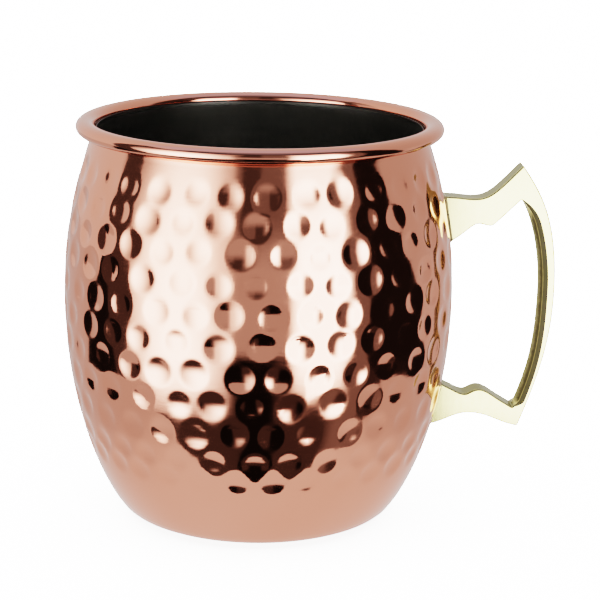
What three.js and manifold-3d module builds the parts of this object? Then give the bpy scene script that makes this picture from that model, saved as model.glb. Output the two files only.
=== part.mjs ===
// A hammered copper mug: a barrel-shaped copper shell with a rolled rim, a steel cup inside it, and a
// cast brass handle brazed on at its two feet. Millimetres, +Z up. The origin is the centre of the flat
// base, and the handle points along +X.
import * as THREE from 'three';
import { mergeVertices } from 'three/addons/utils/BufferGeometryUtils.js';
import Module from 'manifold-3d';

const wasm = await Module();
wasm.setup();

// ---------------------------------------------------------------- driving dimensions

// Barrel, measured on the outside of the copper before it is hammered.
const BASE_R = 23.8; // flat disc the mug stands on
const HEEL_RISE = 2.8; // height at which the rounded heel meets the side
const HEEL_OUT = 9.2; // how far the heel reaches beyond the flat disc
const HEEL_LEAN = THREE.MathUtils.degToRad(49.7); // slope of the side where it leaves the heel
const BELLY_R = 45.6;
const BELLY_Z = 52;
const NECK_R = 38.46; // outside of the copper just under the rim
const NECK_Z = 91.2;
const NECK_LEAN = THREE.MathUtils.degToRad(20.9); // how far the side leans in at the neck

// Walls and the joints between them.
const SHELL_WALL = 0.5;
const LINER_WALL = 0.35;
const RIM_SEAM = 0.1; // between the copper and the steel where they meet under the rim
const BODY_GAP = 0.9; // between them lower down, which leaves room for the hammered dents
const SEAM_HEIGHT = 14; // length of wall over which the gap opens from one to the other

// Rim: the copper is rolled outward into a hollow bead whose free edge stops short of the neck.
const BEAD_OUT = 2.3; // half the bead's width
const BEAD_UP = 1.76; // half the bead's height
const BEAD_RISE = 0.85; // bead's centre above the top of the neck
const CURL_TURN = THREE.MathUtils.degToRad(300); // how far round the sheet is rolled

// Handle: a flat brass plate cut to a C, standing on two feet.
const PLATE = 6; // thickness, along Y
const FINGER_ROOM = 20.7; // belly to the inside of the grip
const GRIP = 3.7; // depth of the grip in the plane of the plate
const UPPER_ARM_DROP = 20.4; // top of the neck down to the middle of the upper foot
const LOWER_ARM_RISE = 25.4; // base up to the middle of the lower foot
const THUMB_REST = 12.6; // upper foot's middle up to the point of the thumb rest
const TAIL_DROP = 5.6; // lower foot's middle down to the tail of the handle
const ARM_ROOT = 11; // how far the arms are drawn inside the belly before they are cut to the shell

// Brazed joints under the feet.
const BRAZE = 0.3; // thickness of the filler
const BRAZE_SEAM = 0.1; // space on either side of it
const BRAZE_INSET = 0.4; // how far the filler stays inside the foot's outline

const AROUND = 56; // facets round the body
const CURVE_STEPS = 5; // facets along each curve of the side
const CURL_STEPS = 12; // facets along the rolled rim

// ---------------------------------------------------------------- small helpers

const v2 = (x, y) => new THREE.Vector2(x, y);

function finish(name, geometry, colour, metalness, roughness) {
  const material = new THREE.MeshStandardMaterial({ color: colour, metalness, roughness });
  const mesh = new THREE.Mesh(geometry, material);
  mesh.name = name;
  return mesh;
}

// Turns a closed (radius, height) outline round the vertical axis.
function turned(outline) {
  const geometry = new THREE.LatheGeometry(outline, AROUND);
  geometry.rotateX(Math.PI / 2);
  return geometry;
}

function toSolid(geometry) {
  const bare = geometry.clone();
  bare.deleteAttribute('normal');
  bare.deleteAttribute('uv');
  const merged = mergeVertices(bare, 1e-4);
  return new wasm.Manifold(new wasm.Mesh({
    numProp: 3,
    vertProperties: new Float32Array(merged.attributes.position.array),
    triVerts: new Uint32Array(merged.index.array),
  }));
}

function fromSolid(solid) {
  const mesh = solid.getMesh();
  const geometry = new THREE.BufferGeometry();
  geometry.setAttribute('position', new THREE.BufferAttribute(mesh.vertProperties, 3));
  geometry.setIndex(new THREE.BufferAttribute(mesh.triVerts, 1));
  geometry.computeVertexNormals();
  return geometry;
}

// ---------------------------------------------------------------- the barrel's outline

// Outside of the barrel from the edge of the flat base to the neck: heel, lower side and upper side.
function barrelSide() {
  const heelEnd = v2(BASE_R + HEEL_OUT, HEEL_RISE);
  const belly = v2(BELLY_R, BELLY_Z);
  const neck = v2(NECK_R, NECK_Z);
  const lowerHeight = BELLY_Z - HEEL_RISE;
  const upperHeight = NECK_Z - BELLY_Z;
  const heelSlope = v2(Math.cos(HEEL_LEAN), Math.sin(HEEL_LEAN));
  const neckSlope = v2(-Math.sin(NECK_LEAN), Math.cos(NECK_LEAN));

  const heelPull = HEEL_OUT * 0.88;
  const lowerPull = heelSlope.clone().multiplyScalar(lowerHeight * 0.12);
  const bellyPullDown = lowerHeight * 0.54;
  const bellyPullUp = upperHeight * 0.12;
  const neckPull = neckSlope.clone().multiplyScalar(upperHeight * 0.53);
  const heelTuck = heelSlope.clone().multiplyScalar(HEEL_OUT * 0.04);

  const heel = new THREE.CubicBezierCurve(
    v2(BASE_R, 0), v2(BASE_R + heelPull, 0), heelEnd.clone().sub(heelTuck), heelEnd);
  const lower = new THREE.CubicBezierCurve(
    heelEnd, heelEnd.clone().add(lowerPull), v2(BELLY_R, BELLY_Z - bellyPullDown), belly);
  const upper = new THREE.CubicBezierCurve(
    belly, v2(BELLY_R, BELLY_Z + bellyPullUp), neck.clone().sub(neckPull), neck);
  return [
    ...heel.getPoints(CURVE_STEPS),
    ...lower.getPoints(CURVE_STEPS).slice(1),
    ...upper.getPoints(CURVE_STEPS).slice(1),
  ];
}

// The same outline moved inward, square to itself, by a distance that may change with height. A
// negative distance moves it outward.
function moved(points, distanceAt) {
  return points.map((point, i) => {
    const before = points[Math.max(i - 1, 0)];
    const after = points[Math.min(i + 1, points.length - 1)];
    const along = i === 0 ? v2(1, 0) : after.clone().sub(before).normalize();
    const inward = v2(-along.y, along.x);
    return point.clone().addScaledVector(inward, distanceAt(point.y));
  });
}

// Space between copper and steel: tight at the neck, wider below it.
function gapAt(height) {
  const down = THREE.MathUtils.smoothstep(NECK_Z - height, 0, SEAM_HEIGHT);
  return THREE.MathUtils.lerp(RIM_SEAM, BODY_GAP, down);
}

const side = barrelSide();

// The solid that the barrel would be without its hollow, grown outward by a distance.
function filledBarrel(grow) {
  const grown = moved(side, () => -grow);
  const top = grown[grown.length - 1];
  return toSolid(turned([v2(0, -grow), ...grown, v2(0, top.y)]));
}

// ---------------------------------------------------------------- copper shell

// Both faces of the rolled sheet, seen as a section: an ellipse that starts on the inside of the neck,
// goes over the top and comes back round towards the neck.
function curl(halfWidth, halfHeight, fromAngle, toAngle) {
  const centre = v2(NECK_R - SHELL_WALL + BEAD_OUT, NECK_Z + BEAD_RISE);
  return Array.from({ length: CURL_STEPS + 1 }, (_, i) => {
    const angle = THREE.MathUtils.lerp(fromAngle, toAngle, i / CURL_STEPS);
    return v2(centre.x + halfWidth * Math.cos(angle), centre.y + halfHeight * Math.sin(angle));
  });
}

function copperShell() {
  const inner = moved(side, () => SHELL_WALL);
  const sheetOutside = curl(BEAD_OUT, BEAD_UP, Math.PI, Math.PI - CURL_TURN);
  const sheetInside = curl(BEAD_OUT - SHELL_WALL, BEAD_UP - SHELL_WALL, Math.PI - CURL_TURN, Math.PI);
  const outline = [
    v2(0, 0),
    ...side,
    ...sheetInside.reverse(),
    ...sheetOutside.reverse(),
    ...inner.reverse(),
    v2(0, SHELL_WALL),
  ];
  return finish('copper_shell', turned(outline), 0xd08a66, 1, 0.12);
}

// ---------------------------------------------------------------- steel liner

function steelLiner() {
  const outer = moved(side, (height) => SHELL_WALL + gapAt(height));
  const inner = moved(side, (height) => SHELL_WALL + gapAt(height) + LINER_WALL);
  const lip = NECK_Z + BEAD_RISE - RIM_SEAM;
  const top = outer[outer.length - 1];
  const rimEdge = [v2(top.x, lip), v2(top.x - LINER_WALL, lip)];
  const floor = SHELL_WALL + BODY_GAP;
  const outline = [v2(0, floor), ...outer, ...rimEdge, ...inner.reverse(), v2(0, floor + LINER_WALL)];
  return finish('steel_liner', turned(outline), 0x3c3b38, 1, 0.35);
}

// ---------------------------------------------------------------- handle

const upperZ = NECK_Z - UPPER_ARM_DROP;
const lowerZ = LOWER_ARM_RISE;
const inside = BELLY_R + FINGER_ROOM;
const outside = inside + GRIP;
const rootX = BELLY_R - ARM_ROOT;
const gripZ = (upperZ + lowerZ) / 2 + 6;

// Outline of the plate in the X-Z plane, drawn clockwise from the top of the upper arm's root.
function handleOutline() {
  const thumb = v2(outside - 8.6, upperZ + THUMB_REST);
  const tail = v2(outside - 7.5, lowerZ - TAIL_DROP);
  const shape = new THREE.Shape();
  shape.moveTo(rootX, upperZ + 5.6);
  shape.lineTo(BELLY_R + 0.5, upperZ + 5);
  // Hollow on top of the arm, rising to the thumb rest.
  shape.bezierCurveTo(BELLY_R + 8, upperZ + 4, BELLY_R + 8, upperZ + 4.6, thumb.x, thumb.y);
  // Back of the grip, one long bow from the thumb rest to the tail.
  shape.bezierCurveTo(thumb.x + 4.2, thumb.y - 6, outside, gripZ + 17, outside, gripZ);
  shape.bezierCurveTo(outside, gripZ - 13, tail.x + 4.6, tail.y + 12, tail.x, tail.y);
  // Underside of the lower arm.
  shape.bezierCurveTo(tail.x - 5, lowerZ - 4.9, tail.x - 7, lowerZ - 2.2, BELLY_R + 4.4, lowerZ - 2.3);
  shape.bezierCurveTo(BELLY_R + 1, lowerZ - 2.6, BELLY_R - 1, lowerZ - 4.4, BELLY_R - 4, lowerZ - 5);
  shape.lineTo(rootX, lowerZ - 6.5);
  // Top of the lower arm: the foot's slope, a small bump, then the corner under the fingers.
  shape.lineTo(rootX, lowerZ + 8.5);
  shape.lineTo(BELLY_R - 2, lowerZ + 5);
  shape.bezierCurveTo(BELLY_R + 1.6, lowerZ + 3.4, BELLY_R + 3.3, lowerZ + 1.9, BELLY_R + 4.6, lowerZ + 2.6);
  shape.bezierCurveTo(BELLY_R + 7.5, lowerZ + 4.4, BELLY_R + 8.5, lowerZ + 3.6, BELLY_R + 12, lowerZ + 1.2);
  shape.lineTo(inside - 5.1, lowerZ - 1);
  // Inside of the grip.
  shape.bezierCurveTo(inside - 2.2, lowerZ + 7, inside, gripZ - 16, inside, gripZ);
  shape.bezierCurveTo(inside, gripZ + 7, inside - 1.6, upperZ - 0.5, inside - 5, upperZ + 4.5);
  // Underside of the upper arm: the corner over the fingers, a small bump, then the foot's slope.
  shape.lineTo(BELLY_R + 9.6, upperZ - 1.4);
  shape.bezierCurveTo(BELLY_R + 8.2, upperZ - 2.6, BELLY_R + 6.8, upperZ - 0.9, BELLY_R + 5, upperZ - 1.5);
  shape.bezierCurveTo(BELLY_R + 3.5, upperZ - 2.4, BELLY_R + 2, upperZ - 4, BELLY_R, upperZ - 5.2);
  shape.lineTo(rootX, upperZ - 9.5);
  shape.closePath();
  return shape;
}

// A plate of an outline in the X-Z plane, centred on Y = 0.
function plate(shape, thickness) {
  const geometry = new THREE.ExtrudeGeometry(shape, {
    depth: thickness,
    bevelEnabled: false,
    curveSegments: 9,
  });
  geometry.translate(0, 0, -thickness / 2);
  geometry.rotateX(Math.PI / 2);
  return toSolid(geometry);
}

const handlePlate = plate(handleOutline(), PLATE);

function handle() {
  const clearOfShell = filledBarrel(BRAZE_SEAM + BRAZE + BRAZE_SEAM);
  return finish('handle', fromSolid(handlePlate.subtract(clearOfShell)), 0xd9cfa4, 1, 0.3);
}

// ---------------------------------------------------------------- brazed joints

// Filler between one foot and the shell: what a block round that foot shares with the slightly
// thinner and shallower plate, kept to a layer just outside the copper.
function braze(name, centreZ, slimmer) {
  const footHeight = 30;
  const block = new THREE.BoxGeometry(2 * ARM_ROOT, PLATE - 2 * BRAZE_INSET, footHeight);
  block.translate(BELLY_R, 0, centreZ);
  const layer = filledBarrel(BRAZE_SEAM + BRAZE).subtract(filledBarrel(BRAZE_SEAM));
  const foot = slimmer.intersect(toSolid(block)).intersect(layer);
  return finish(name, fromSolid(foot), 0xc9b27c, 1, 0.4);
}

// The plate with its outline drawn in by the inset at the top and the bottom of each arm.
function slimmedPlate() {
  const up = handlePlate.translate([0, 0, BRAZE_INSET]);
  const down = handlePlate.translate([0, 0, -BRAZE_INSET]);
  return up.intersect(down);
}

// ---------------------------------------------------------------- the mug

const mug = new THREE.Group();
const slimmer = slimmedPlate();
mug.add(copperShell());
mug.add(steelLiner());
mug.add(handle());
mug.add(braze('upper_handle_braze', upperZ, slimmer));
mug.add(braze('lower_handle_braze', lowerZ, slimmer));

export default mug;
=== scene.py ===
# %% [markdown]
# # A hammered copper mug
#
# The mug is a barrel of thin copper, hammered all over, with its rim rolled outward into a bead. A
# brushed steel cup lines it, and a flat cast brass handle is brazed on at two feet.
#
# The measured frame comes first. It fixes every size and place, and each visible piece below is a finer
# version of one of its solids, so nothing here moves or resizes anything.

# %% Load the frame
import math

import bmesh
import bpy
from mathutils import Matrix, Vector


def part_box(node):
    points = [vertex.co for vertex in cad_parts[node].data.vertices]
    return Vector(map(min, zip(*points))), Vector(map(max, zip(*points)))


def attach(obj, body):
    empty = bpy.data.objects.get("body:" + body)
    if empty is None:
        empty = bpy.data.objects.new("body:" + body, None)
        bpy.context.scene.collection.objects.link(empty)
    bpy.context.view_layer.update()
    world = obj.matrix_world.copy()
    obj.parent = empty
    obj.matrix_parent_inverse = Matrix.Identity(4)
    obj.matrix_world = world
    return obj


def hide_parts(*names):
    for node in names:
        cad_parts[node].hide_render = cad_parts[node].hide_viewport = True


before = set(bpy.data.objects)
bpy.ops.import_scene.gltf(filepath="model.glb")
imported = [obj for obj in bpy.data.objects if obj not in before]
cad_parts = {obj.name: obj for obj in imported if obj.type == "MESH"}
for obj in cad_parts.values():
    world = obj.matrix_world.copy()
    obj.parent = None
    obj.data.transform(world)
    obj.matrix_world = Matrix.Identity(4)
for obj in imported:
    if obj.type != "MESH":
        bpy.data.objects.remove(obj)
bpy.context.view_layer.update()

BODY = "root"
MM = 0.001

# %% [markdown]
# ## Where the picture is taken from
#
# A camera could be placed by an empty it tracks, or by three typed Euler angles. Here it is placed the
# way a photographer describes it: a point it stands on, how far it is turned, how far it looks down and
# how far it leans. A long lens from half a metre away keeps the barrel's sides nearly parallel.

# %% Camera
CAMERA_AT = Vector((-15.7, -449.7, 167.5)) * MM
CAMERA_TURN = math.radians(-3.248)
CAMERA_DOWN = math.radians(14.587)
CAMERA_LEAN = math.radians(0.889)
CAMERA_LENS = 117.87


def make_camera():
    data = bpy.data.cameras.new("camera")
    data.lens = CAMERA_LENS
    data.sensor_width = 36
    data.clip_start, data.clip_end = 0.01, 20
    camera = bpy.data.objects.new("camera", data)
    turn = Matrix.Rotation(CAMERA_TURN, 4, "Z")
    tilt = Matrix.Rotation(math.pi / 2 - CAMERA_DOWN, 4, "X")
    lean = Matrix.Rotation(CAMERA_LEAN, 4, "Z")
    camera.matrix_world = Matrix.Translation(CAMERA_AT) @ turn @ tilt @ lean
    bpy.context.scene.collection.objects.link(camera)
    bpy.context.scene.camera = camera
    return camera


make_camera()
print("camera stands", round(CAMERA_AT.length, 3), "m from the mug's base")

# %% [markdown]
# ## Node trees written as sums
#
# Shader trees and Geometry Nodes trees can be wired node by node, which takes a page for one formula.
# Instead, a small class wraps a socket and gives it Python's operators, so `1 - mask * depth` adds its
# own Math nodes. Any other node comes from one method, `Tree.node`.

# %% Sockets with operators
class Wire:
    """An output socket that can stand in a Python expression."""

    def __init__(self, tree, socket):
        self.tree = tree
        self.socket = socket

    def math(self, operation, *values):
        return self.tree.node("ShaderNodeMath", {"operation": operation}, dict(enumerate(values)))

    def __neg__(self):
        return self.math("MULTIPLY", self, -1)


def give_operator(name, operation):
    """Lets Python's operator of that name, and its reflected form, add a Math node."""
    setattr(Wire, f"__{name}__", lambda wire, other: wire.math(operation, wire, other))
    setattr(Wire, f"__r{name}__", lambda wire, other: wire.math(operation, other, wire))


give_operator("add", "ADD")
give_operator("sub", "SUBTRACT")
give_operator("mul", "MULTIPLY")
give_operator("truediv", "DIVIDE")


class Tree:
    """Adds nodes to a shader or Geometry Nodes tree."""

    def __init__(self, tree):
        self.tree = tree

    def node(self, kind, settings=None, values=None, out=0):
        """One node: its settings first, then a value or a Wire for each named or numbered input."""
        made = self.tree.nodes.new(kind)
        for name, value in (settings or {}).items():
            setattr(made, name, value)
        for name, value in (values or {}).items():
            socket = self.input_named(made, name)
            if isinstance(value, Wire):
                self.tree.links.new(value.socket, socket)
            else:
                socket.default_value = value
        outputs = [socket for socket in made.outputs if socket.enabled]
        if not outputs:
            return None
        found = outputs[out] if isinstance(out, int) else made.outputs[out]
        return Wire(self, found)

    @staticmethod
    def input_named(made, name):
        """Sockets share names, such as a Mix node's three kinds of A, so only an enabled one counts."""
        if isinstance(name, int):
            return made.inputs[name]
        return next(socket for socket in made.inputs if socket.enabled and socket.name == name)

    def vector(self, x, y, z):
        return self.node("ShaderNodeCombineXYZ", None, {"X": x, "Y": y, "Z": z})

    def split(self, vector):
        made = self.node("ShaderNodeSeparateXYZ", None, {"Vector": vector})
        outputs = made.socket.node.outputs
        return [Wire(self, outputs[axis]) for axis in "XYZ"]


print("sockets can stand in sums")

# %% [markdown]
# ## Metals
#
# Polished metal has almost no colour of its own: it shows the room, tinted. What makes it look real is
# what a hand leaves behind, so each metal below is a Principled shader with full metallic, a tint that
# drifts a little over the piece, a roughness broken up by polishing marks, and a very fine bump. The
# marks are worked out from Object coordinates, which sit still on the piece. The helpers below are
# what the four metals share.

# %% Shader helpers
def new_material(name):
    material = bpy.data.materials.new(name)
    material.use_nodes = True
    material.node_tree.nodes.clear()
    return material, Tree(material.node_tree)


def object_place(tree, scale=(1, 1, 1)):
    """Object coordinates, stretched along each axis."""
    place = tree.node("ShaderNodeTexCoord", out="Object")
    return tree.node("ShaderNodeMapping", {"vector_type": "POINT"}, {"Vector": place, "Scale": scale})


def noise(tree, place, scale, detail=2, roughness=0.5):
    return tree.node(
        "ShaderNodeTexNoise",
        {"noise_dimensions": "3D"},
        {"Vector": place, "Scale": scale, "Detail": detail, "Roughness": roughness},
        out="Fac",
    )


def ramp(tree, value, start, end, low=0.0, high=1.0, curve="LINEAR"):
    """Goes from low to high as value goes from start to end, and stays level outside them."""
    settings = {"clamp": True, "interpolation_type": curve}
    values = {"Value": value, "From Min": start, "From Max": end, "To Min": low, "To Max": high}
    return tree.node("ShaderNodeMapRange", settings, values)


def between(tree, amount, low, high):
    """A value that goes from low to high as amount goes over the middle of a noise."""
    return ramp(tree, amount, 0.3, 0.7, low, high)


def mix_colours(tree, amount, first, second):
    """Blends two colours, each of which is a Wire or three numbers."""
    ends = [end if isinstance(end, Wire) else (*end, 1) for end in (first, second)]
    values = {"Factor": amount, "A": ends[0], "B": ends[1]}
    return tree.node("ShaderNodeMix", {"data_type": "RGBA"}, values)


def bump(tree, height, depth):
    """A bump whose height is given in metres by depth."""
    return tree.node("ShaderNodeBump", None, {"Height": height, "Distance": depth})


def metal(tree, colour, roughness, normal, bare=1.0, shade_gloss=0.5):
    """A Principled shader. Bare metal is fully metallic; where the handle's painted shade lies, it is
    less so.
    """
    values = {
        "Base Color": colour,
        "Metallic": bare,
        "Roughness": roughness,
        "Specular IOR Level": shade_gloss,
        "Normal": normal,
    }
    shader = tree.node("ShaderNodeBsdfPrincipled", None, values)
    tree.node("ShaderNodeOutputMaterial", None, {"Surface": shader})


print("shader helpers ready")

# %% [markdown]
# ### Copper
#
# The barrel is polished after it's hammered, so it mirrors the room with a pink tint, and a cloth has
# left faint wipes round it. One flat roughness would look like plastic film. Two noises are mixed into
# it instead: a broad one for smudges, and a fine one squeezed along the height for the wipes.

# %% Polished copper
COPPER_BRIGHT = (0.88, 0.41, 0.305)
COPPER_WARM = (0.85, 0.38, 0.275)


def copper_material():
    material, tree = new_material("polished_copper")
    place = object_place(tree)
    tone = noise(tree, place, 26, 3)
    smudge = noise(tree, place, 70, 4, 0.6)
    wipe = noise(tree, object_place(tree, (1, 1, 5)), 320, 2)
    grain = noise(tree, place, 1400, 2)
    colour = mix_colours(tree, between(tree, tone, 0.0, 1.0), COPPER_BRIGHT, COPPER_WARM)
    roughness = between(tree, smudge, 0.05, 0.1) + between(tree, wipe, 0.0, 0.03)
    normal = bump(tree, grain * 0.3 + wipe, 0.000004)
    metal(tree, colour, roughness, normal)
    return material


copper = copper_material()
print("copper has", len(copper.node_tree.nodes), "nodes")

# %% [markdown]
# ### Steel
#
# The lining is turned on a lathe, which leaves fine rings round it and a wider, softer gloss than the
# copper has. An anisotropic shader could draw those streaks, but a noise squeezed along the height does
# it more plainly, in the roughness and in a fine bump. The steel is painted near black over the last
# millimetre of its height, under the copper's turned edge: this is painted shade in the gap between the
# two.

# %% Brushed steel
STEEL_LIGHT = (0.50, 0.49, 0.46)
STEEL_DARK = (0.42, 0.41, 0.38)
# Near black: painted shade in the gap under the copper's rolled rim.
STEEL_GAP_SHADE = (0.06, 0.05, 0.045)
GAP_SHADE_FROM, GAP_SHADE_TO = 90.8 * MM, 91.8 * MM


def steel_material():
    material, tree = new_material("brushed_steel")
    rings = object_place(tree, (1, 1, 40))
    line = noise(tree, rings, 90, 4, 0.7)
    cloud = noise(tree, object_place(tree), 35, 3)
    clean = mix_colours(tree, between(tree, cloud, 0.0, 1.0), STEEL_DARK, STEEL_LIGHT)
    roughness = between(tree, line, 0.24, 0.4) + between(tree, cloud, 0.0, 0.06)
    _, _, height = tree.split(tree.node("ShaderNodeTexCoord", out="Object"))
    # Painted shade: the top millimetre of the steel turns near black.
    colour = mix_colours(tree, ramp(tree, height, GAP_SHADE_FROM, GAP_SHADE_TO), clean, STEEL_GAP_SHADE)
    metal(tree, colour, roughness, bump(tree, line, 0.00001))
    return material


steel = steel_material()
print("steel has", len(steel.node_tree.nodes), "nodes")

# %% [markdown]
# ### Brass
#
# The handle's flat faces are polished pale. Its sawn sides are coloured a darker tone, and its edges and
# filed flats near black: both tones are painted shade. Three materials on three sets of faces would meet
# at hard lines. One material can hold all three when the mesh carries a value that the handle's own cell
# works out: up to a half it turns polish to the sides' painted shade, and above that it turns this to the
# near-black painted shade. There the shader is hardly metallic and has little gloss.

# %% Cast brass
BRASS_PALE = (0.66, 0.585, 0.285)
BRASS_OLIVE = (0.64, 0.56, 0.26)
# Painted shade: a darker tone for the handle's sides, and a near-black one for its edges and filed flats.
BRASS_SIDE_SHADE = (0.40, 0.35, 0.155)
BRASS_EDGE_SHADE = (0.024, 0.0205, 0.0105)
SIDE_SHADE_FULL_AT = 0.5
EDGE_SHADE_FROM, EDGE_SHADE_FULL_AT = 0.55, 0.9


def brass_material():
    material, tree = new_material("cast_brass")
    place = object_place(tree)
    tone = noise(tree, place, 60, 3)
    fine_mottle = noise(tree, place, 900, 3, 0.6)
    stroke = noise(tree, object_place(tree, (1, 1, 0.12)), 1500, 2)
    clean = mix_colours(tree, between(tree, tone, 0.0, 1.0), BRASS_PALE, BRASS_OLIVE)
    # How much painted shade each point gets, as worked out by the handle's cell.
    edge = tree.node("ShaderNodeAttribute", {"attribute_name": "painted_shade"}, out="Fac")
    edge = edge * between(tree, fine_mottle, 0.98, 1.02)
    edge_shade = ramp(tree, edge, EDGE_SHADE_FROM, EDGE_SHADE_FULL_AT)
    side_shaded = mix_colours(tree, ramp(tree, edge, 0.0, SIDE_SHADE_FULL_AT), clean, BRASS_SIDE_SHADE)
    colour = mix_colours(tree, edge_shade, side_shaded, BRASS_EDGE_SHADE)
    roughness = between(tree, fine_mottle, 0.14, 0.17) + between(tree, stroke, 0.0, 0.02) + edge_shade * 0.3
    normal = bump(tree, fine_mottle * 0.5 + stroke * 0.5, 0.000004)
    metal(tree, colour, roughness, normal, 1 - edge_shade * 0.9, shade_gloss=0.08)
    return material


brass = brass_material()
print("brass has", len(brass.node_tree.nodes), "nodes")

# %% [markdown]
# ### Braze
#
# Filler metal melts between brass and copper and sets with a grainy skin, paler than the copper. The
# same kind of shader does it, rougher and with a coarser grain.

# %% Braze
BRAZE_PALE = (0.78, 0.68, 0.46)
BRAZE_DULL = (0.58, 0.44, 0.28)


def braze_material():
    material, tree = new_material("braze")
    place = object_place(tree)
    tone = noise(tree, place, 420, 3)
    grain = noise(tree, place, 1800, 2)
    colour = mix_colours(tree, between(tree, tone, 0.0, 1.0), BRAZE_PALE, BRAZE_DULL)
    roughness = between(tree, tone, 0.25, 0.45)
    metal(tree, colour, roughness, bump(tree, grain + tone, 0.00002))
    return material


braze = braze_material()
print("materials:", [m.name for m in (copper, steel, brass, braze)])

# %% [markdown]
# ## The barrel's side
#
# Everything round on the mug follows one curve: up from the flat base, round the heel, out to the belly
# and in to the neck. A curve can be drawn with many points, but three Bezier arcs that share their end
# directions are smoother and have only a few sizes. The belly and the height come from the frame.

# %% Sizes of the barrel
_, shell_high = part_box("copper_shell")
BELLY_R = shell_high.y / MM
TOP_Z = shell_high.z / MM
BELLY_Z = 52.0
BASE_R = 23.8
HEEL_OUT = 9.2
HEEL_RISE = 2.8
HEEL_LEAN = math.radians(49.7)
NECK_R = 38.46
NECK_LEAN = math.radians(20.9)
SHELL_WALL = 0.5
BEAD_OUT = 2.3
BEAD_UP = 1.76
BEAD_RISE = 0.85
NECK_Z = TOP_Z - BEAD_UP - BEAD_RISE
print("belly radius", round(BELLY_R, 2), "neck height", round(NECK_Z, 2))


# %% Curves of the side
def bezier(start, pull, push, end, steps):
    """Points along one cubic Bezier arc, without its first point."""
    points = []
    for i in range(1, steps + 1):
        t = i / steps
        s = 1 - t
        points.append(s ** 3 * start + 3 * s * s * t * pull + 3 * s * t * t * push + t ** 3 * end)
    return points


def barrel_side(steps=120):
    """(radius, height) in mm from the edge of the flat base to the neck."""
    foot = Vector((BASE_R, 0))
    heel = Vector((BASE_R + HEEL_OUT, HEEL_RISE))
    belly = Vector((BELLY_R, BELLY_Z))
    neck = Vector((NECK_R, NECK_Z))
    lower, upper = BELLY_Z - HEEL_RISE, NECK_Z - BELLY_Z
    heel_slope = Vector((math.cos(HEEL_LEAN), math.sin(HEEL_LEAN)))
    neck_slope = Vector((-math.sin(NECK_LEAN), math.cos(NECK_LEAN)))
    arcs = (
        (foot, foot + Vector((HEEL_OUT * 0.88, 0)), heel - heel_slope * HEEL_OUT * 0.04, heel),
        (heel, heel + heel_slope * lower * 0.12, belly - Vector((0, lower * 0.54)), belly),
        (belly, belly + Vector((0, upper * 0.12)), neck - neck_slope * upper * 0.53, neck),
    )
    points = [foot]
    for arc in arcs:
        points += bezier(*arc, steps)
    return points


SIDE = barrel_side()
print("side curve has", len(SIDE), "points")


# %% Ways to follow the side
def respaced(points, step_at):
    """The same curve with its points step_at(height) apart."""
    placed = [points[0]]
    travelled = 0.0
    for before, after in zip(points, points[1:]):
        travelled += (after - before).length
        if travelled >= step_at(after.y):
            placed.append(after)
            travelled = 0.0
    if (placed[-1] - points[-1]).length < 1e-6:
        return placed
    return placed[:-1] + [points[-1]]


def inward(points, distance_at):
    """The curve moved towards the inside of the mug, square to itself."""
    moved = []
    for i, point in enumerate(points):
        before, after = points[max(i - 1, 0)], points[min(i + 1, len(points) - 1)]
        along = Vector((1, 0)) if i == 0 else (after - before).normalized()
        moved.append(point + Vector((-along.y, along.x)) * distance_at(point.y))
    return moved


def radius_at(height):
    """Outside radius of the unhammered barrel, in mm."""
    for before, after in zip(SIDE, SIDE[1:]):
        if before.y <= height <= after.y and after.y > before.y:
            share = (height - before.y) / (after.y - before.y)
            return before.x + share * (after.x - before.x)
    return SIDE[-1].x


print("radius at mid height", round(radius_at(TOP_Z / 2), 2))

# %% [markdown]
# ## The copper shell
#
# The shell is one sheet, spun to shape, hammered from outside with a round-faced hammer and rolled over
# at the rim. The marks could be a bump texture, but the barrel's outline would stay smooth and no light
# would bounce twice inside a mark, so they are real hollows here. Three hundred and fifty hollows that
# follow a rule are a job for Geometry Nodes: one tree turns the section into a sheet, lays rows of
# hammer marks on it, and pushes each of its points in by its distance from the nearest mark.

# %% Section of the sheet
HAMMERED_LOW, HAMMERED_HIGH = 9.0, 88.0
FINE_STEP, PLAIN_STEP = 0.58, 1.3
CURL_END = -120
DENT_DEPTH = 0.42


def sheet_step(height):
    return FINE_STEP if HAMMERED_LOW < height < HAMMERED_HIGH else PLAIN_STEP


def curl(half_width, half_height, start, end, steps):
    """Part of the rolled rim, as an arc of an ellipse between two angles in degrees."""
    centre = Vector((NECK_R - SHELL_WALL + BEAD_OUT, NECK_Z + BEAD_RISE))
    points = []
    for i in range(steps + 1):
        angle = math.radians(start + (end - start) * i / steps)
        points.append(centre + Vector((half_width * math.cos(angle), half_height * math.sin(angle))))
    return points


def shell_section():
    """Outline of the copper sheet, and how many of its first points the hammer can reach."""
    floor = [Vector((BASE_R * share, 0)) for share in (0, 0.2, 0.45, 0.7, 0.9)]
    outside = respaced(SIDE, sheet_step)
    hollow = curl(BEAD_OUT - SHELL_WALL, BEAD_UP - SHELL_WALL, CURL_END, 180, 12)
    bead = curl(BEAD_OUT, BEAD_UP, CURL_END, 180, 26)

    def wall_at(height):
        """The sheet's wall under the neck, thick enough there to hold the backs of the marks."""
        deep = min(max((NECK_Z - height) / 8, 0), 1)
        return SHELL_WALL + DENT_DEPTH * deep

    inside = inward(respaced(SIDE, lambda height: 8), wall_at)
    points = floor + outside + hollow[::-1] + bead + inside[::-1] + [Vector((0, wall_at(0)))]
    return points, len(floor) + len(outside)


section, hammered_count = shell_section()
print("section has", len(section), "points, of which", hammered_count, "face the hammer")


# %% [markdown]
# ### The hammer tree
#
# The tree's inputs are the things a smith would name: how many rows of marks, how many marks to a row,
# how wide and how deep a mark is, and how far a blow may stray. The rows stand closer together near the
# rim, each row is turned by half a mark against the one above it, and none goes below a set height.

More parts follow.
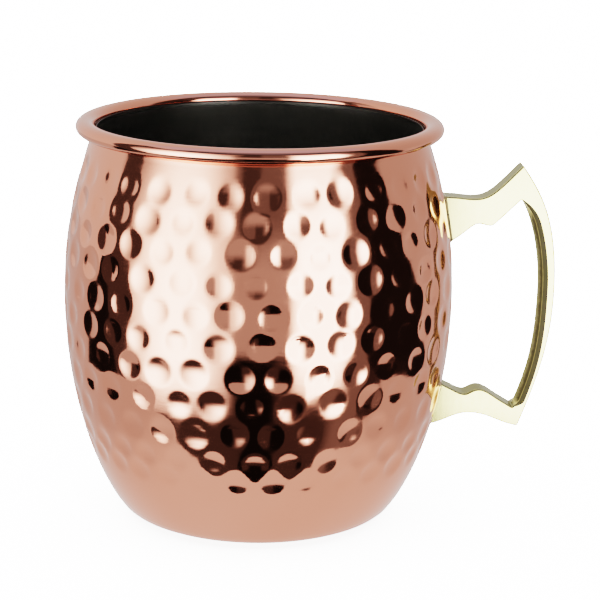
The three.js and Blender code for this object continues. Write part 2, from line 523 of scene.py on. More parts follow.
# %% Inputs of the tree
# Each input: its name, its kind of socket, and what the smith chose. Lengths are in metres.
HAMMER_INPUTS = (
    ("Columns", "Int", 480),
    ("Points Facing Hammer", "Int", hammered_count),
    ("Mark Rows", "Int", 11),
    ("Marks per Row", "Int", 32),
    ("Row Phase", "Float", 0.191),
    ("Top Row Height", "Float", 83.6 * MM),
    ("Row Step", "Float", 6.15 * MM),
    ("Row Step Growth", "Float", 0.06 * MM),
    ("Lowest Row Height", "Float", 18.9 * MM),
    ("Mark Radius", "Float", 3.0 * MM),
    ("Mark Depth", "Float", DENT_DEPTH * MM),
    ("Lip Softness", "Float", 0.12 * MM),
    ("Row Turn", "Float", 1.27 * MM),
    ("Stray", "Float", 0.955 * MM),
    ("Row Seed", "Int", 57095),
    ("Seed", "Int", 143872),
    ("Material", "Material", copper),
)
CHOSEN = {name: value for name, _, value in HAMMER_INPUTS}
print("blows:", CHOSEN["Mark Rows"] * CHOSEN["Marks per Row"])


# %% Tree helpers
def random_value(tree, number, seed, low, high):
    values = {"Min": low, "Max": high, "ID": number, "Seed": seed}
    return tree.node("FunctionNodeRandomValue", {"data_type": "FLOAT"}, values)


def stored(tree, geometry, kind, name, value):
    """The geometry, with a value kept on each of its points under a name."""
    values = {"Geometry": geometry, "Name": name, "Value": value}
    return tree.node("GeometryNodeStoreNamedAttribute", {"data_type": kind, "domain": "POINT"}, values)


def grid_with_counts(tree, across, up):
    """A flat grid, and each point's column and row in it."""
    size = {"Size X": 1.0, "Size Y": 1.0, "Vertices X": across, "Vertices Y": up}
    grid = tree.node("GeometryNodeMeshGrid", None, size)
    x, y, _ = tree.split(tree.node("GeometryNodeInputPosition"))
    column = ((x + 0.5) * (across - 1)).math("ROUND", (x + 0.5) * (across - 1))
    row = ((y + 0.5) * (up - 1)).math("ROUND", (y + 0.5) * (up - 1))
    return grid, column, row


def round_the_axis(tree, radius, angle, height):
    return tree.vector(radius * angle.math("COSINE", angle), radius * angle.math("SINE", angle), height)


print("tree helpers ready")


# %% Turn the section and lay the marks
FAR_OUTSIDE = 0.2


def turn_section(tree, given):
    """The section turned round the Z axis, with each point's place in the section kept as "row"."""
    count = tree.node("GeometryNodeAttributeDomainSize", None, {"Geometry": given["Geometry"]})
    grid, column, row = grid_with_counts(tree, given["Columns"] + 1, count)
    grid = stored(tree, grid, "INT", "row", row)
    place = tree.node("GeometryNodeInputPosition")
    sampling = {"data_type": "FLOAT_VECTOR", "domain": "POINT"}
    taken = {"Geometry": given["Geometry"], "Value": place, "Index": row}
    point = tree.node("GeometryNodeSampleIndex", sampling, taken)
    radius, _, height = tree.split(point)
    angle = column / given["Columns"] * (2 * math.pi)
    turned = round_the_axis(tree, radius, angle, height)
    sheet = tree.node("GeometryNodeSetPosition", None, {"Geometry": grid, "Position": turned})
    return tree.node("GeometryNodeMergeByDistance", None, {"Geometry": sheet, "Distance": 1e-6})


def lay_marks(tree, given, sheet):
    """One point on the sheet for each blow of the hammer, with its own size."""
    marks, column, row = grid_with_counts(tree, given["Marks per Row"], given["Mark Rows"])
    seed = given["Seed"]
    number = tree.node("GeometryNodeInputIndex")
    stray_round = random_value(tree, number, seed, -1.0, 1.0) * given["Stray"]
    stray_up = random_value(tree, number, seed + 1, -0.5, 0.5) * given["Stray"]
    row_turn = random_value(tree, row, given["Row Seed"], -1.0, 1.0) * given["Row Turn"]
    turn = column + given["Row Phase"] - 0.5 * row.math("MODULO", row, 2)
    angle = turn / given["Marks per Row"] * (2 * math.pi) + (stray_round + row_turn) / (BELLY_R * MM)
    height = given["Top Row Height"] - row * given["Row Step"] - row * row * given["Row Step Growth"]
    height = height.math("MAXIMUM", height, given["Lowest Row Height"]) + stray_up
    outside = round_the_axis(tree, FAR_OUTSIDE, angle, height)
    inward_way = round_the_axis(tree, -1.0, angle, 0.0)
    blow = {
        "Target Geometry": sheet,
        "Source Position": outside,
        "Ray Direction": inward_way,
        "Ray Length": 1.0,
    }
    struck = tree.node("GeometryNodeRaycast", None, blow, out="Hit Position")
    marks = tree.node("GeometryNodeSetPosition", None, {"Geometry": marks, "Position": struck})
    return stored(tree, marks, "FLOAT", "size", random_value(tree, number, seed + 2, 0.9, 1.12))


print("blows start", FAR_OUTSIDE, "m from the axis")


# %% Strike the marks and build the tree
def strike(tree, given, sheet, marks):
    """Pushes each point of the sheet's outer face in, as a shallow cup round its nearest mark."""
    place = tree.node("GeometryNodeInputPosition")
    nearest = tree.node("GeometryNodeSampleNearest", {"domain": "POINT"}, {"Geometry": marks})
    at_mark = {"Geometry": marks, "Index": nearest}
    where = {**at_mark, "Value": place}
    centre = tree.node("GeometryNodeSampleIndex", {"data_type": "FLOAT_VECTOR"}, where)
    named = tree.node("GeometryNodeInputNamedAttribute", {"data_type": "FLOAT"}, {"Name": "size"})
    size = tree.node("GeometryNodeSampleIndex", {"data_type": "FLOAT"}, {**at_mark, "Value": named})
    distance = tree.node("ShaderNodeVectorMath", {"operation": "DISTANCE"}, {0: place, 1: centre})
    share = distance / (given["Mark Radius"] * size)
    cup = given["Mark Depth"] * size * (1 - share * share)
    depth = cup.math("SMOOTH_MAX", cup, 0.0, given["Lip Softness"])
    row = tree.node("GeometryNodeInputNamedAttribute", {"data_type": "INT"}, {"Name": "row"})
    comparing = {"data_type": "INT", "operation": "LESS_THAN"}
    facing = tree.node("FunctionNodeCompare", comparing, {"A": row, "B": given["Points Facing Hammer"]})
    normal = tree.node("GeometryNodeInputNormal")
    push = tree.node("ShaderNodeVectorMath", {"operation": "SCALE"}, {0: normal, "Scale": -depth})
    moved = {"Geometry": sheet, "Selection": facing, "Offset": push}
    return tree.node("GeometryNodeSetPosition", None, moved)


def hammer_tree():
    group = bpy.data.node_groups.new("hammered_sheet", "GeometryNodeTree")
    group.interface.new_socket("Geometry", in_out="INPUT", socket_type="NodeSocketGeometry")
    for name, kind, _ in HAMMER_INPUTS:
        group.interface.new_socket(name, in_out="INPUT", socket_type="NodeSocket" + kind)
    group.interface.new_socket("Geometry", in_out="OUTPUT", socket_type="NodeSocketGeometry")
    tree = Tree(group)
    source = group.nodes.new("NodeGroupInput")
    given = {name: Wire(tree, source.outputs[name]) for name in ("Geometry", *CHOSEN)}
    sheet = turn_section(tree, given)
    marks = lay_marks(tree, given, sheet)
    sheet = strike(tree, given, sheet, marks)
    sheet = tree.node("GeometryNodeSetShadeSmooth", None, {"Geometry": sheet})
    sheet = tree.node("GeometryNodeRealizeInstances", None, {"Geometry": sheet})
    sheet = tree.node("GeometryNodeSetMaterial", None, {"Geometry": sheet, "Material": given["Material"]})
    tree.node("NodeGroupOutput", None, {"Geometry": sheet})
    return group


tree_of_marks = hammer_tree()
print("hammer tree has", len(tree_of_marks.nodes), "nodes")


# %% Mesh helpers
def mesh_object(name, points, faces, edges=()):
    mesh = bpy.data.meshes.new(name)
    mesh.from_pydata(points, list(edges), faces)
    made = bpy.data.objects.new(name, mesh)
    bpy.context.scene.collection.objects.link(made)
    return made


def tidy_mesh(piece):
    """Closes seams and poles, points every face outwards and smooths the shading."""
    work = bmesh.new()
    work.from_mesh(piece.data)
    bmesh.ops.remove_doubles(work, verts=work.verts, dist=1e-7)
    bmesh.ops.recalc_face_normals(work, faces=work.faces)
    for face in work.faces:
        face.smooth = True
    work.to_mesh(piece.data)
    open_edges = sum(1 for edge in work.edges if not edge.is_manifold)
    work.free()
    print(piece.name, len(piece.data.polygons), "faces,", open_edges, "open edges")


def applied_tree(carrier, group, values, name):
    """The mesh that a Geometry Nodes tree makes from an object, as a plain object of its own."""
    modifier = carrier.modifiers.new("nodes", "NODES")
    modifier.node_group = group
    for item in group.interface.items_tree:
        if item.in_out == "INPUT" and item.name in values:
            modifier[item.identifier] = values[item.name]
    seen = carrier.evaluated_get(bpy.context.evaluated_depsgraph_get())
    mesh = bpy.data.meshes.new_from_object(seen)
    carrier.modifiers.remove(modifier)
    bpy.data.objects.remove(carrier)
    for attribute in [a.name for a in mesh.attributes if a.name in ("row", "size")]:
        mesh.attributes.remove(mesh.attributes[attribute])
    made = bpy.data.objects.new(name, mesh)
    bpy.context.scene.collection.objects.link(made)
    return made


print("mesh helpers ready")


# %% Make the shell
def make_shell():
    points = [Vector((point.x, 0, point.y)) * MM for point in section]
    edges = [(i, i + 1) for i in range(len(points) - 1)]
    carrier = mesh_object("shell_section", points, [], edges)
    shell = applied_tree(carrier, tree_of_marks, CHOSEN, "hammered_shell")
    tidy_mesh(shell)
    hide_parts("copper_shell")
    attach(shell, BODY)
    return shell


shell = make_shell()

# %% [markdown]
# ## The steel cup
#
# The lining is a plain turned cup with an even wall. A short loop that turns an outline round the axis
# makes it, because it has no pattern and needs no tree. It stays clear of the backs of the hammer marks
# and closes up to the copper just under the rim.

# %% Make the liner
RIM_SEAM = 0.1
BODY_GAP = 0.9
SEAM_HEIGHT = 14.0
LINER_WALL = 0.35
TURNED_COLUMNS = 224


def turned(name, outline, columns):
    """A closed (radius, height) outline in mm, turned round the Z axis."""
    count = len(outline)
    points, faces = [], []
    for column in range(columns):
        angle = 2 * math.pi * column / columns
        points += [Vector((p.x * math.cos(angle), p.x * math.sin(angle), p.y)) * MM for p in outline]
        here, there = column * count, (column + 1) % columns * count
        faces += [(here + i, there + i, there + i + 1, here + i + 1) for i in range(count - 1)]
    return mesh_object(name, points, faces)


def gap_at(height):
    share = min(max((NECK_Z - height) / SEAM_HEIGHT, 0), 1)
    ease = share * share * (3 - 2 * share)
    return RIM_SEAM + (BODY_GAP - RIM_SEAM) * ease


def rounded_lip(outer_x, height, wall):
    """Half circle over the edge of a wall."""
    angles = [math.pi * i / 6 for i in range(7)]
    radius = wall / 2
    return [
        Vector((outer_x - radius + radius * math.cos(a), height - radius + radius * math.sin(a)))
        for a in angles
    ]


def make_liner():
    outer_side = respaced(SIDE, lambda height: 1.6)
    outer = inward(outer_side, lambda height: SHELL_WALL + gap_at(height))
    inner = inward(outer_side, lambda height: SHELL_WALL + gap_at(height) + LINER_WALL)
    lip = rounded_lip(outer[-1].x, NECK_Z + BEAD_RISE - RIM_SEAM, LINER_WALL)
    floor = SHELL_WALL + BODY_GAP
    flat = [0.0, BASE_R * 0.35, BASE_R * 0.7]
    under = [Vector((radius, floor)) for radius in flat]
    upper = [Vector((radius, floor + LINER_WALL)) for radius in flat[::-1]]
    liner = turned("lining_cup", under + outer + lip + inner[::-1] + upper, TURNED_COLUMNS)
    tidy_mesh(liner)
    liner.data.materials.append(steel)
    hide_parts("steel_liner")
    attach(liner, BODY)
    return liner


liner = make_liner()

# %% [markdown]
# ## The handle
#
# The handle is a flat plate, so its outline says nearly everything. It could be cut from a box with
# Boolean modifiers. A pen that draws straight and curved strokes from a few sizes is easier to change:
# each stroke is one feature, such as the thumb rest, the tail or the small bump on an arm. What falls
# inside the barrel is then cut away, so that each foot follows the copper.

# %% Sizes of the handle
THUMB_RISE, THUMB_BACK = 12.6, 8.6
TAIL_DROP, TAIL_BACK = 5.6, 7.5
GRIP_THICK = 3.7
handle_low, handle_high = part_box("handle")
UPPER_Z = handle_high.z / MM - THUMB_RISE
LOWER_Z = handle_low.z / MM + TAIL_DROP
GRIP_OUT = handle_high.x / MM
GRIP_IN = GRIP_OUT - GRIP_THICK
PLATE_HALF = handle_high.y / MM
GRIP_Z = (UPPER_Z + LOWER_Z) / 2 + 6
ROOT_X = BELLY_R - 11
FOOT_SINK = 0.2
OUTLINE_STEP = 0.2
print("arms at", round(LOWER_Z, 2), "and", round(UPPER_Z, 2), "mm")


# %% Draw the outline
class Pen:
    """Draws a polyline in the X-Z plane, in mm, from straight and curved strokes."""

    def __init__(self, x, z):
        self.points = [Vector((x, z))]

    def line(self, x, z):
        end = Vector((x, z))
        start = self.points[-1]
        self.points += bezier(start, start.lerp(end, 1 / 3), start.lerp(end, 2 / 3), end, 60)

    def curve(self, x1, z1, x2, z2, x, z):
        self.points += bezier(self.points[-1], Vector((x1, z1)), Vector((x2, z2)), Vector((x, z)), 60)


def handle_outline():
    up, low, belly = UPPER_Z, LOWER_Z, BELLY_R
    thumb = Vector((GRIP_OUT - THUMB_BACK, up + THUMB_RISE))
    tail = Vector((GRIP_OUT - TAIL_BACK, low - TAIL_DROP))
    pen = Pen(ROOT_X, up + 5.6)
    # Hollow on top of the upper arm, rising to the thumb rest.
    pen.line(belly + 0.5, up + 5)
    pen.curve(belly + 8, up + 4, belly + 8, up + 4.6, thumb.x, thumb.y)
    # Back of the grip, from the thumb rest to the tail.
    pen.curve(thumb.x + 4.2, thumb.y - 6, GRIP_OUT, GRIP_Z + 17, GRIP_OUT, GRIP_Z)
    pen.curve(GRIP_OUT, GRIP_Z - 13, tail.x + 4.6, tail.y + 12, tail.x, tail.y)
    # Underside of the lower arm.
    pen.curve(tail.x - 5, low - 4.9, tail.x - 7, low - 2.2, belly + 4.4, low - 2.3)
    pen.curve(belly + 1, low - 2.6, belly - 1, low - 4.4, belly - 4, low - 5)
    pen.line(ROOT_X, low - 6.5)
    # Lower foot, then the top of the lower arm with its small bump.
    pen.line(ROOT_X, low + 8.5)
    pen.line(belly - 2, low + 5)
    pen.curve(belly + 1.6, low + 3.4, belly + 3.3, low + 1.9, belly + 4.6, low + 2.6)
    pen.curve(belly + 7.5, low + 4.4, belly + 8.5, low + 3.6, belly + 12, low + 1.2)
    pen.line(GRIP_IN - 5.1, low - 1)
    # Inside of the grip.
    pen.curve(GRIP_IN - 2.2, low + 7, GRIP_IN, GRIP_Z - 16, GRIP_IN, GRIP_Z)
    pen.curve(GRIP_IN, GRIP_Z + 7, GRIP_IN - 1.6, up - 0.5, GRIP_IN - 5, up + 4.5)
    # Underside of the upper arm with its small bump, and the upper foot.
    pen.line(belly + 9.6, up - 1.4)
    pen.curve(belly + 8.2, up - 2.6, belly + 6.8, up - 0.9, belly + 5, up - 1.5)
    pen.curve(belly + 3.5, up - 2.4, belly + 2, up - 4, belly, up - 5.2)
    pen.line(ROOT_X, up - 9.5)
    return pen.points


drawn = handle_outline()
print("the pen drew", len(drawn), "points")


# %% Fit the outline to the barrel
def cut_to_barrel(points):
    """Drops what lies inside the barrel and runs each foot's end along the barrel instead."""
    outside = [point.x > radius_at(point.y) - FOOT_SINK for point in points]
    first = next(i for i, out in enumerate(outside) if out and not outside[i - 1])
    order = list(range(first, len(points))) + list(range(first))
    cut = []
    for i in order:
        if outside[i]:
            cut.append(points[i])
            continue
        if outside[i - 1]:
            leaving = cut[-1].y
        following = (i + 1) % len(points)
        if outside[following]:
            arriving = points[following].y
            steps = max(2, round(abs(arriving - leaving) / OUTLINE_STEP))
            for k in range(1, steps):
                height = leaving + (arriving - leaving) * k / steps
                cut.append(Vector((radius_at(height) - FOOT_SINK, height)))
    return cut


def evenly_spaced(points, step):
    """A closed polyline with its points about one step apart."""
    closed = points + [points[0]]
    lengths = [0.0]
    for before, after in zip(closed, closed[1:]):
        lengths.append(lengths[-1] + (after - before).length)
    count = round(lengths[-1] / step)
    placed, i = [], 0
    for k in range(count):
        wanted = lengths[-1] * k / count
        while lengths[i + 1] < wanted:
            i += 1
        share = (wanted - lengths[i]) / max(lengths[i + 1] - lengths[i], 1e-9)
        placed.append(closed[i].lerp(closed[i + 1], share))
    return placed


def softened(points, passes):
    """Draws each of a closed run of points or directions towards its neighbours, as filing does."""
    for _ in range(passes):
        before = points[-1:] + points[:-1]
        after = points[1:] + points[:1]
        points = [(a + b * 2 + c) / 4 for a, b, c in zip(before, points, after)]
    return points


outline = softened(evenly_spaced(cut_to_barrel(drawn), OUTLINE_STEP), 3)
print("handle outline has", len(outline), "points")


# %% [markdown]
# ### Edges of the handle
#
# A Bevel modifier would round every edge alike. On the real handle the edges are only broken, while the
# two edges under the fingers have a filed flat with a thin groove beside it, which fades out towards the
# corners. So the plate is a stack of outlines, each drawn in by its own amount, and the same rows say how
# much painted shade each level gets: near black on the broken edges and filed flats, a darker tone on the
# sides. At a corner the directions in which it is drawn in are softened first, because an outline that is
# drawn in further than its corner is round would cross itself.

# %% Edge sections of the handle
# Each row goes from the flat face to the middle of the side: inset and depth where the edge is only
# broken, inset and depth where it is filed, then how much painted shade the metal gets there, broken and
# filed.
EDGE_ROWS = (
    (0.30, 0.00, 2.05, 0.00, 0.00, 0.00),
    (0.28, 0.01, 2.00, 0.01, 0.97, 1.00),
    (0.17, 0.05, 1.88, 0.06, 1.00, 1.00),
    (0.08, 0.12, 1.45, 0.27, 1.00, 0.95),
    (0.02, 0.24, 1.02, 0.50, 0.95, 1.00),
    (0.00, 0.38, 0.97, 0.54, 0.55, 0.84),
    (0.00, 0.50, 0.88, 0.61, 0.50, 0.84),
    (0.00, 0.70, 0.82, 0.68, 0.50, 0.95),
    (0.00, 1.20, 0.55, 1.10, 0.50, 0.90),
    (0.00, 1.80, 0.30, 1.70, 0.50, 0.87),
    (0.00, 2.40, 0.10, 2.30, 0.50, 0.84),
    (0.00, 2.90, 0.00, 2.90, 0.50, 0.82),
)
FILED_RUN_LOW, FILED_RUN_HIGH = 2.0, 6.0
FILED_LOW, FILED_HIGH = LOWER_Z - 0.6, UPPER_Z + 4.2
FILED_NEAR, FILED_FAR = GRIP_IN - 5.5, GRIP_IN + 0.6


def outward_normals(points):
    """Unit normals of a closed polyline, pointing out of its area."""
    count = len(points)
    area = sum(points[i - 1].x * points[i].y - points[i].x * points[i - 1].y for i in range(count))
    side = 1 if area > 0 else -1
    normals = []
    for i in range(count):
        along = (points[(i + 1) % count] - points[i - 1]).normalized()
        normals.append(Vector((along.y, -along.x)) * side)
    return normals


def filed_share(point):
    """How much of the filed flat this point of the outline has: only the inside of the grip has it."""
    if point.x < FILED_NEAR or point.x > FILED_FAR:
        return 0.0
    run = min((point.y - FILED_LOW) / FILED_RUN_LOW, (FILED_HIGH - point.y) / FILED_RUN_HIGH)
    run = min(max(run, 0.0), 1.0)
    return run * (2 - run)


def edge_section(share):
    """(inset, depth, painted shade) from the flat face round to the middle of the side."""
    section = []
    for inset, depth, filed_inset, filed_depth, painted_shade, filed_painted_shade in EDGE_ROWS:
        broken = Vector((inset, depth, painted_shade))
        section.append(broken.lerp(Vector((filed_inset, filed_depth, filed_painted_shade)), share))
    return section


print("edge sections have", len(EDGE_ROWS), "levels")


# %% Make the handle
def stacked(name, rings):
    """A closed mesh of rings laid one on another, with a flat face at both ends."""
    count = len(rings[0])
    points = [point for ring in rings for point in ring]
    last = (len(rings) - 1) * count
    faces = [tuple(range(count)), tuple(range(last, last + count))]
    for here in range(0, last, count):
        for i in range(count):
            j = (i + 1) % count
            faces.append((here + i, here + j, here + count + j, here + count + i))
    return mesh_object(name, points, faces)


def make_handle():
    normals = outward_normals(outline)
    inner = [n if p.x > radius_at(p.y) else n * 0 for n, p in zip(normals, outline)]
    inner = softened(inner, 6)
    sections = [edge_section(filed_share(p) if n.x < 0 else 0.0) for p, n in zip(outline, normals)]
    rings, painted_shade = [], []
    for side in (-1, 1):
        levels = range(len(sections[0]))
        for level in levels if side < 0 else reversed(levels):
            ring = []
            for point, way, rows in zip(outline, inner, sections):
                inset, depth, shade_here = rows[level]
                painted_shade.append(shade_here)
                place = point - way * inset
                ring.append(Vector((place.x, side * (PLATE_HALF - depth), place.y)) * MM)
            rings.append(ring)
    handle = stacked("brass_handle", rings)
    # Each point keeps its share of painted shade, which the brass shader reads.
    shade_layer = handle.data.attributes.new("painted_shade", "FLOAT", "POINT")
    shade_layer.data.foreach_set("value", painted_shade)
    tidy_mesh(handle)
    for face in handle.data.polygons:
        face.use_smooth = len(face.vertices) == 4
    handle.data.materials.append(brass)
    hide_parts("handle")
    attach(handle, BODY)
    return handle


handle = make_handle()

# %% [markdown]
# ## The brazed joints
#
# Where each foot meets the copper, filler metal has run into the seam and left a thin hollow fillet all
# round. A curve with a round bevel could be laid along the seam, but its face would bulge, where filler
# that has run in is hollow. So each one is a few rings that follow the barrel, shrinking as they rise.

# %% Make the fillets
# Each ring: how far it reaches past the foot, and how far it stands off the barrel, in mm.
FILLET = ((0.5, -0.45), (0.42, 0.02), (0.2, 0.12), (0.06, 0.32), (0.0, 0.55), (-0.8, 0.6))
FOOT_PAST_FILLER = 0.4
CORNER_RADIUS = 0.35


def foot_span(name):
    """Lowest and highest height of one foot in mm, from the filler that the frame has under it."""
    low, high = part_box(name)
    return low.z / MM - FOOT_PAST_FILLER, high.z / MM + FOOT_PAST_FILLER


def rounded_rectangle(half_wide, low, high, corner, steps=6):
    """(y, z) points round a rectangle with rounded corners."""
    middle = (low + high) / 2
    half_high = (high - low) / 2
    points = []
    for quarter in range(4):
        side_y = (1, -1, -1, 1)[quarter]
        side_z = (1, 1, -1, -1)[quarter]
        for k in range(steps + 1):
            angle = math.pi / 2 * (quarter + k / steps)
            y = side_y * (half_wide - corner) + corner * math.cos(angle)
            z = middle + side_z * (half_high - corner) + corner * math.sin(angle)
            points.append((y, z))
    return points


def make_braze(name, node):
    low, high = foot_span(node)
    rings = []
    for grow, lift in FILLET:
        corner = CORNER_RADIUS + max(grow, 0)
        shape = rounded_rectangle(PLATE_HALF + grow, low - grow, high + grow, corner)
        ring = []
        for y, z in shape:
            radius = radius_at(z) + lift
            ring.append(Vector((math.sqrt(radius * radius - y * y), y, z)) * MM)
        rings.append(ring)
    fillet = stacked(name, rings)
    tidy_mesh(fillet)
    fillet.data.materials.append(braze)
    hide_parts(node)
    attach(fillet, BODY)
    return fillet


make_braze("upper_braze_fillet", "upper_handle_braze")
make_braze("lower_braze_fillet", "lower_handle_braze")

# %% [markdown]
# ## Floor and studio
#
# Polished copper is a mirror, so the studio is half of its look. It has a pale floor, a soft overhead
# light, and a few glowing surfaces that are there only to be mirrored: a curved wall in front, dark
# flags on both sides, a small card before the handle and a light table under the mug.
#
# The floor itself glows a little, so that it stays pale and holds no hard shadow. A plain white plane
# would need a much stronger lamp, which would bleach the handle's duller parts.

# %% Floor
FLOOR_SIZE = 8.0
FLOOR_GLOW = 3.0
FLOOR_DROP = 0.2 * MM
PALE = (0.93, 0.925, 0.915)


def pale_material():
    material, tree = new_material("pale_floor")
    speck = noise(tree, object_place(tree), 300, 2)
    tone = mix_colours(tree, between(tree, speck, 0.0, 1.0), PALE, tuple(0.99 * c for c in PALE))
    shader = tree.node("ShaderNodeBsdfDiffuse", None, {"Color": tone})
    from_below = tree.node("ShaderNodeEmission", None, {"Color": tone, "Strength": FLOOR_GLOW})
    both = tree.node("ShaderNodeAddShader", None, {0: shader, 1: from_below})
    tree.node("ShaderNodeOutputMaterial", None, {"Surface": both})
    return material


def corners(low, high):
    """The corners of a rectangle in order, from two opposite ones."""
    return [(low[0], low[1]), (high[0], low[1]), (high[0], high[1]), (low[0], high[1])]


floor_half = FLOOR_SIZE / 2
floor_corners = corners((-floor_half, -floor_half), (floor_half, floor_half))
floor = mesh_object("studio_floor", [(x, y, -FLOOR_DROP) for x, y in floor_corners], [(0, 1, 2, 3)])
floor.data.materials.append(pale_material())
floor.visible_glossy = False
print("floor is", FLOOR_SIZE, "m wide")


# %% Things that only gloss sees
def glow_material(name, brightness_of):
    """Light from a surface whose brightness is worked out from its own place."""
    material, tree = new_material(name)
    place = tree.node("ShaderNodeTexCoord", out="Object")
    brightness = brightness_of(tree, place)
    grey = tree.vector(brightness, brightness, brightness)
    light = tree.node("ShaderNodeEmission", None, {"Color": grey, "Strength": 1.0})
    tree.node("ShaderNodeOutputMaterial", None, {"Surface": light})
    return material


def even_glow(name, brightness):
    """Light from a surface that is equally bright all over."""
    material, tree = new_material(name)
    light = tree.node("ShaderNodeEmission", None, {"Strength": brightness})
    tree.node("ShaderNodeOutputMaterial", None, {"Surface": light})
    return material


def mirrored_only(name, points, faces, material):
    """A surface that shows in the metal and nowhere else."""
    card = mesh_object(name, points, faces)
    card.data.materials.append(material)
    card.visible_camera = False
    card.visible_diffuse = False
    card.visible_shadow = False
    return card


def fade(tree, value, start, end, low=0.0, high=1.0):
    """A ramp that starts and ends gently."""
    return ramp(tree, value, start, end, low, high, "SMOOTHSTEP")


def patch(tree, value, start, end, soft):
    """One inside a range and nothing outside it, with soft borders that lie inside the range."""
    return fade(tree, value, start, start + soft) * fade(tree, value, end, end - soft)


print("studio helpers ready")

# %% [markdown]
# ### Diffuser wall
#
# Such a piece is lit through a wide curved sheet of cloth with a hot spot on either side, and the bare
# stretch between them mirrors as the dark middle of the barrel. Area lights would do, but their hard
# borders look like windows. One curved wall instead carries a brightness worked out from its angle and
# height, so that each patch fades as light does in cloth. A grey card hangs between the patches, with
# a dark slot above it.

# %% Brightness of the wall
# Ranges round the wall are in degrees from the front: start, end and how soft the borders are.
LEFT_WASH, LEFT_WASH_GLOW = (-110, -15, 6), 0.65
LEFT_HOT, LEFT_HOT_GLOW = (-84, -13, 33), 3.8
RIGHT_HOT_GLOW = 5.6
MIDDLE = (-24, 21, 5)
CARD_GLOW, OVER_CARD_GLOW = 0.38, 0.11
SLOT, SLOT_LOSS = (-14, 0, 2), 0.1
UNDER_CARD, UNDER_CARD_LOSS = (-16, 10, 5), 0.06
BARE_GLOW, DUSK_GLOW = 0.075, 0.13


def wall_strength(tree, place):
    """Two bright patches, a grey card between them, and darkness above and below the card."""
    x, y, z = tree.split(place)
    angle = x.math("ARCTAN2", x, -y) * (180 / math.pi)
    left = patch(tree, angle, *LEFT_WASH) * LEFT_WASH_GLOW + patch(tree, angle, *LEFT_HOT) * LEFT_HOT_GLOW
    right = fade(tree, angle, 13, 23) * fade(tree, angle, 54, 42)
    right = right * fade(tree, z, -0.22, -0.07) * RIGHT_HOT_GLOW
    bright = (left * fade(tree, z, -0.27, -0.09) + right) * fade(tree, z, 0.64, 0.02)
    dusk = fade(tree, angle, 38, 48) * DUSK_GLOW
    card = fade(tree, z, -0.088, -0.082) * fade(tree, z, 0.21, 0.08)
    over_card = fade(tree, z, 0.08, 0.21)
    slot = patch(tree, angle, *SLOT) * SLOT_LOSS
    grey = card * CARD_GLOW + over_card * (OVER_CARD_GLOW - slot)
    under = patch(tree, angle, *UNDER_CARD) * patch(tree, z, -0.5, -0.085, 0.01)
    bare = BARE_GLOW - under * UNDER_CARD_LOSS
    return bright + patch(tree, angle, *MIDDLE) * grey + bare + dusk


print("the right hot spot is", round(RIGHT_HOT_GLOW / BARE_GLOW), "times as bright as the bare wall")

# %% Make the wall
WALL_AWAY = 0.45
WALL_LOW, WALL_HIGH = -0.5, 0.62
WALL_LEFT, WALL_RIGHT = -100, 62


def make_wall(steps=36):
    points = []
    for i in range(steps + 1):
        angle = math.radians(WALL_LEFT + (WALL_RIGHT - WALL_LEFT) * i / steps)
        x, y = WALL_AWAY * math.sin(angle), -WALL_AWAY * math.cos(angle)
        points += [(x, y, WALL_LOW), (x, y, WALL_HIGH)]
    faces = [(2 * i, 2 * i + 2, 2 * i + 3, 2 * i + 1) for i in range(steps)]
    return mirrored_only("diffuser_wall", points, faces, glow_material("diffuser", wall_strength))


make_wall()
print("wall runs from", WALL_LEFT, "to", WALL_RIGHT, "degrees")

# %% [markdown]
# ### Flags
#
# Flags are sheets of black cloth that stand close to the mug, just out of view, and draw the dark bands
# near its edges. Their slanted borders are what bends the bands on the barrel, so each one is a shape
# with corners rather than a rectangle. The brown one is thinner cloth that lets some light through.

# %% Flags
FLAG_X = 0.127
# Corners of the flags, as (y, z) in mm.
RIGHT_FLAG = (
    (-84, 0), (16, 0), (13, 13), (-3, 39), (-28, 72), (-42, 110), (-48, 125), (-60, 220), (-90, 220),
)
LEFT_BROWN_FLAG = (
    (-38, 0), (-22, 0), (-12, 62), (-6, 105), (0, 220), (-30, 220), (-36, 105), (-44, 75), (-53, 40),
)
LEFT_FLAG = ((-22, 0), (40, 0), (12, 38), (-3, 64), (-12, 62))


def flag(name, x, outline, strength):
    """An upright sheet of dark cloth across the X axis."""
    points = [(x, y * MM, z * MM) for y, z in outline]
    glow = even_glow(name + "_cloth", strength)
    return mirrored_only(name, points, [tuple(range(len(points)))], glow)


flag("right_flag", FLAG_X, RIGHT_FLAG, 0.025)
flag("left_flag", -FLAG_X, LEFT_FLAG, 0.02)
flag("left_brown_flag", -FLAG_X, LEFT_BROWN_FLAG, 0.085)
print("three flags stand", FLAG_X, "m from the axis")

# %% [markdown]
# ### Card and light table
#
# The handle's flat face would mirror the gap between the wall and the flag, so a small white card
# stands before it. The light table is what the lower part of the barrel mirrors. It is wide behind the
# mug, narrow beside it and ends just in front of it, so that the darkness beyond shows above the heel.

# %% Card and light table
BOUNCE_Y = -0.15
BOUNCE_LOW, BOUNCE_HIGH = (0.064, -0.03), (0.112, 0.06)
TABLE_DROP = 0.1 * MM
TABLE_MIDDLE_GLOW, TABLE_SIDE_GLOW = 0.74, 0.53
# Corners of the table, as (x, y) in mm.
TABLE = (
    (-125, -56), (125, -56), (125, 35), (600, 35), (600, 800), (-600, 800), (-600, 35), (-125, 35),
)


def table_strength(tree, place):
    x, _, _ = tree.split(place)
    return fade(tree, x.math("ABSOLUTE", x), 0.03, 0.085, TABLE_MIDDLE_GLOW, TABLE_SIDE_GLOW)


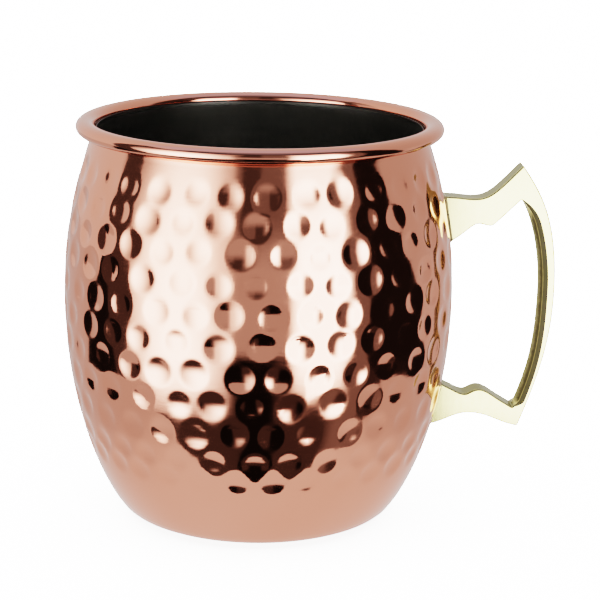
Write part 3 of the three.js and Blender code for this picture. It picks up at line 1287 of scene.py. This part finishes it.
bounce = [(x, BOUNCE_Y, z) for x, z in corners(BOUNCE_LOW, BOUNCE_HIGH)]
mirrored_only("handle_bounce", bounce, [(0, 1, 2, 3)], even_glow("bounce_card", 5.0))
table = [(x * MM, y * MM, -TABLE_DROP) for x, y in TABLE]
table_glow = glow_material("light_table_glow", table_strength)
mirrored_only("light_table", table, [tuple(range(len(TABLE)))], table_glow)
print("card and light table stand ready")

# %% [markdown]
# ### Room light
#
# What no card covers shows the room. A constant grey world would flatten the copper, so it is worked out
# from the direction: lighter behind the mug and straight above, and dark elsewhere. One big overhead
# lamp lights the floor and the handle's duller parts, and gloss doesn't see it. The high-contrast view
# keeps the brightest patches pale instead of letting them turn yellow.

# %% Room light
ROOM_DARK = 0.06
SKY_WHITE, SKY_COOL = (1.0, 1.0, 1.0), (0.86, 1.0, 1.25)
LAMP_AT, LAMP_SIZE, LAMP_POWER = (0, 0.4, 2.4), (4.5, 4.5), 1500


def room_light():
    """Grey overhead and behind, dark elsewhere, so the wall's patches stand out in the copper."""
    world = bpy.data.worlds.new("room")
    bpy.context.scene.world = world
    world.use_nodes = True
    world.node_tree.nodes.clear()
    tree = Tree(world.node_tree)
    way = tree.node("ShaderNodeTexCoord", out="Generated")
    x, y, z = tree.split(way)
    behind = fade(tree, y, -0.2, -0.05) * (0.6 - 0.12 * x)
    overhead = fade(tree, z, 0.8, 0.95, 0.0, 0.3)
    glow = behind.math("MAXIMUM", behind, overhead)
    sky = mix_colours(tree, fade(tree, z, 0.7, 0.9), SKY_WHITE, SKY_COOL)
    scaled = {0: sky, "Scale": glow.math("MAXIMUM", glow, ROOM_DARK)}
    light = tree.node("ShaderNodeVectorMath", {"operation": "SCALE"}, scaled)
    back = tree.node("ShaderNodeBackground", None, {"Color": light, "Strength": 1.0})
    tree.node("ShaderNodeOutputWorld", None, {"Surface": back})


def soft_box(name, at, size, power):
    """An area light that gloss and the camera don't see."""
    data = bpy.data.lights.new(name, "AREA")
    data.shape = "RECTANGLE"
    data.size, data.size_y = size
    data.energy = power
    light = bpy.data.objects.new(name, data)
    light.location = at
    light.visible_glossy = False
    light.visible_camera = False
    bpy.context.scene.collection.objects.link(light)


room_light()
soft_box("overhead", LAMP_AT, LAMP_SIZE, LAMP_POWER)
bpy.context.scene.view_settings.view_transform = "Filmic"
bpy.context.scene.view_settings.look = "Very High Contrast"
print("room lit")
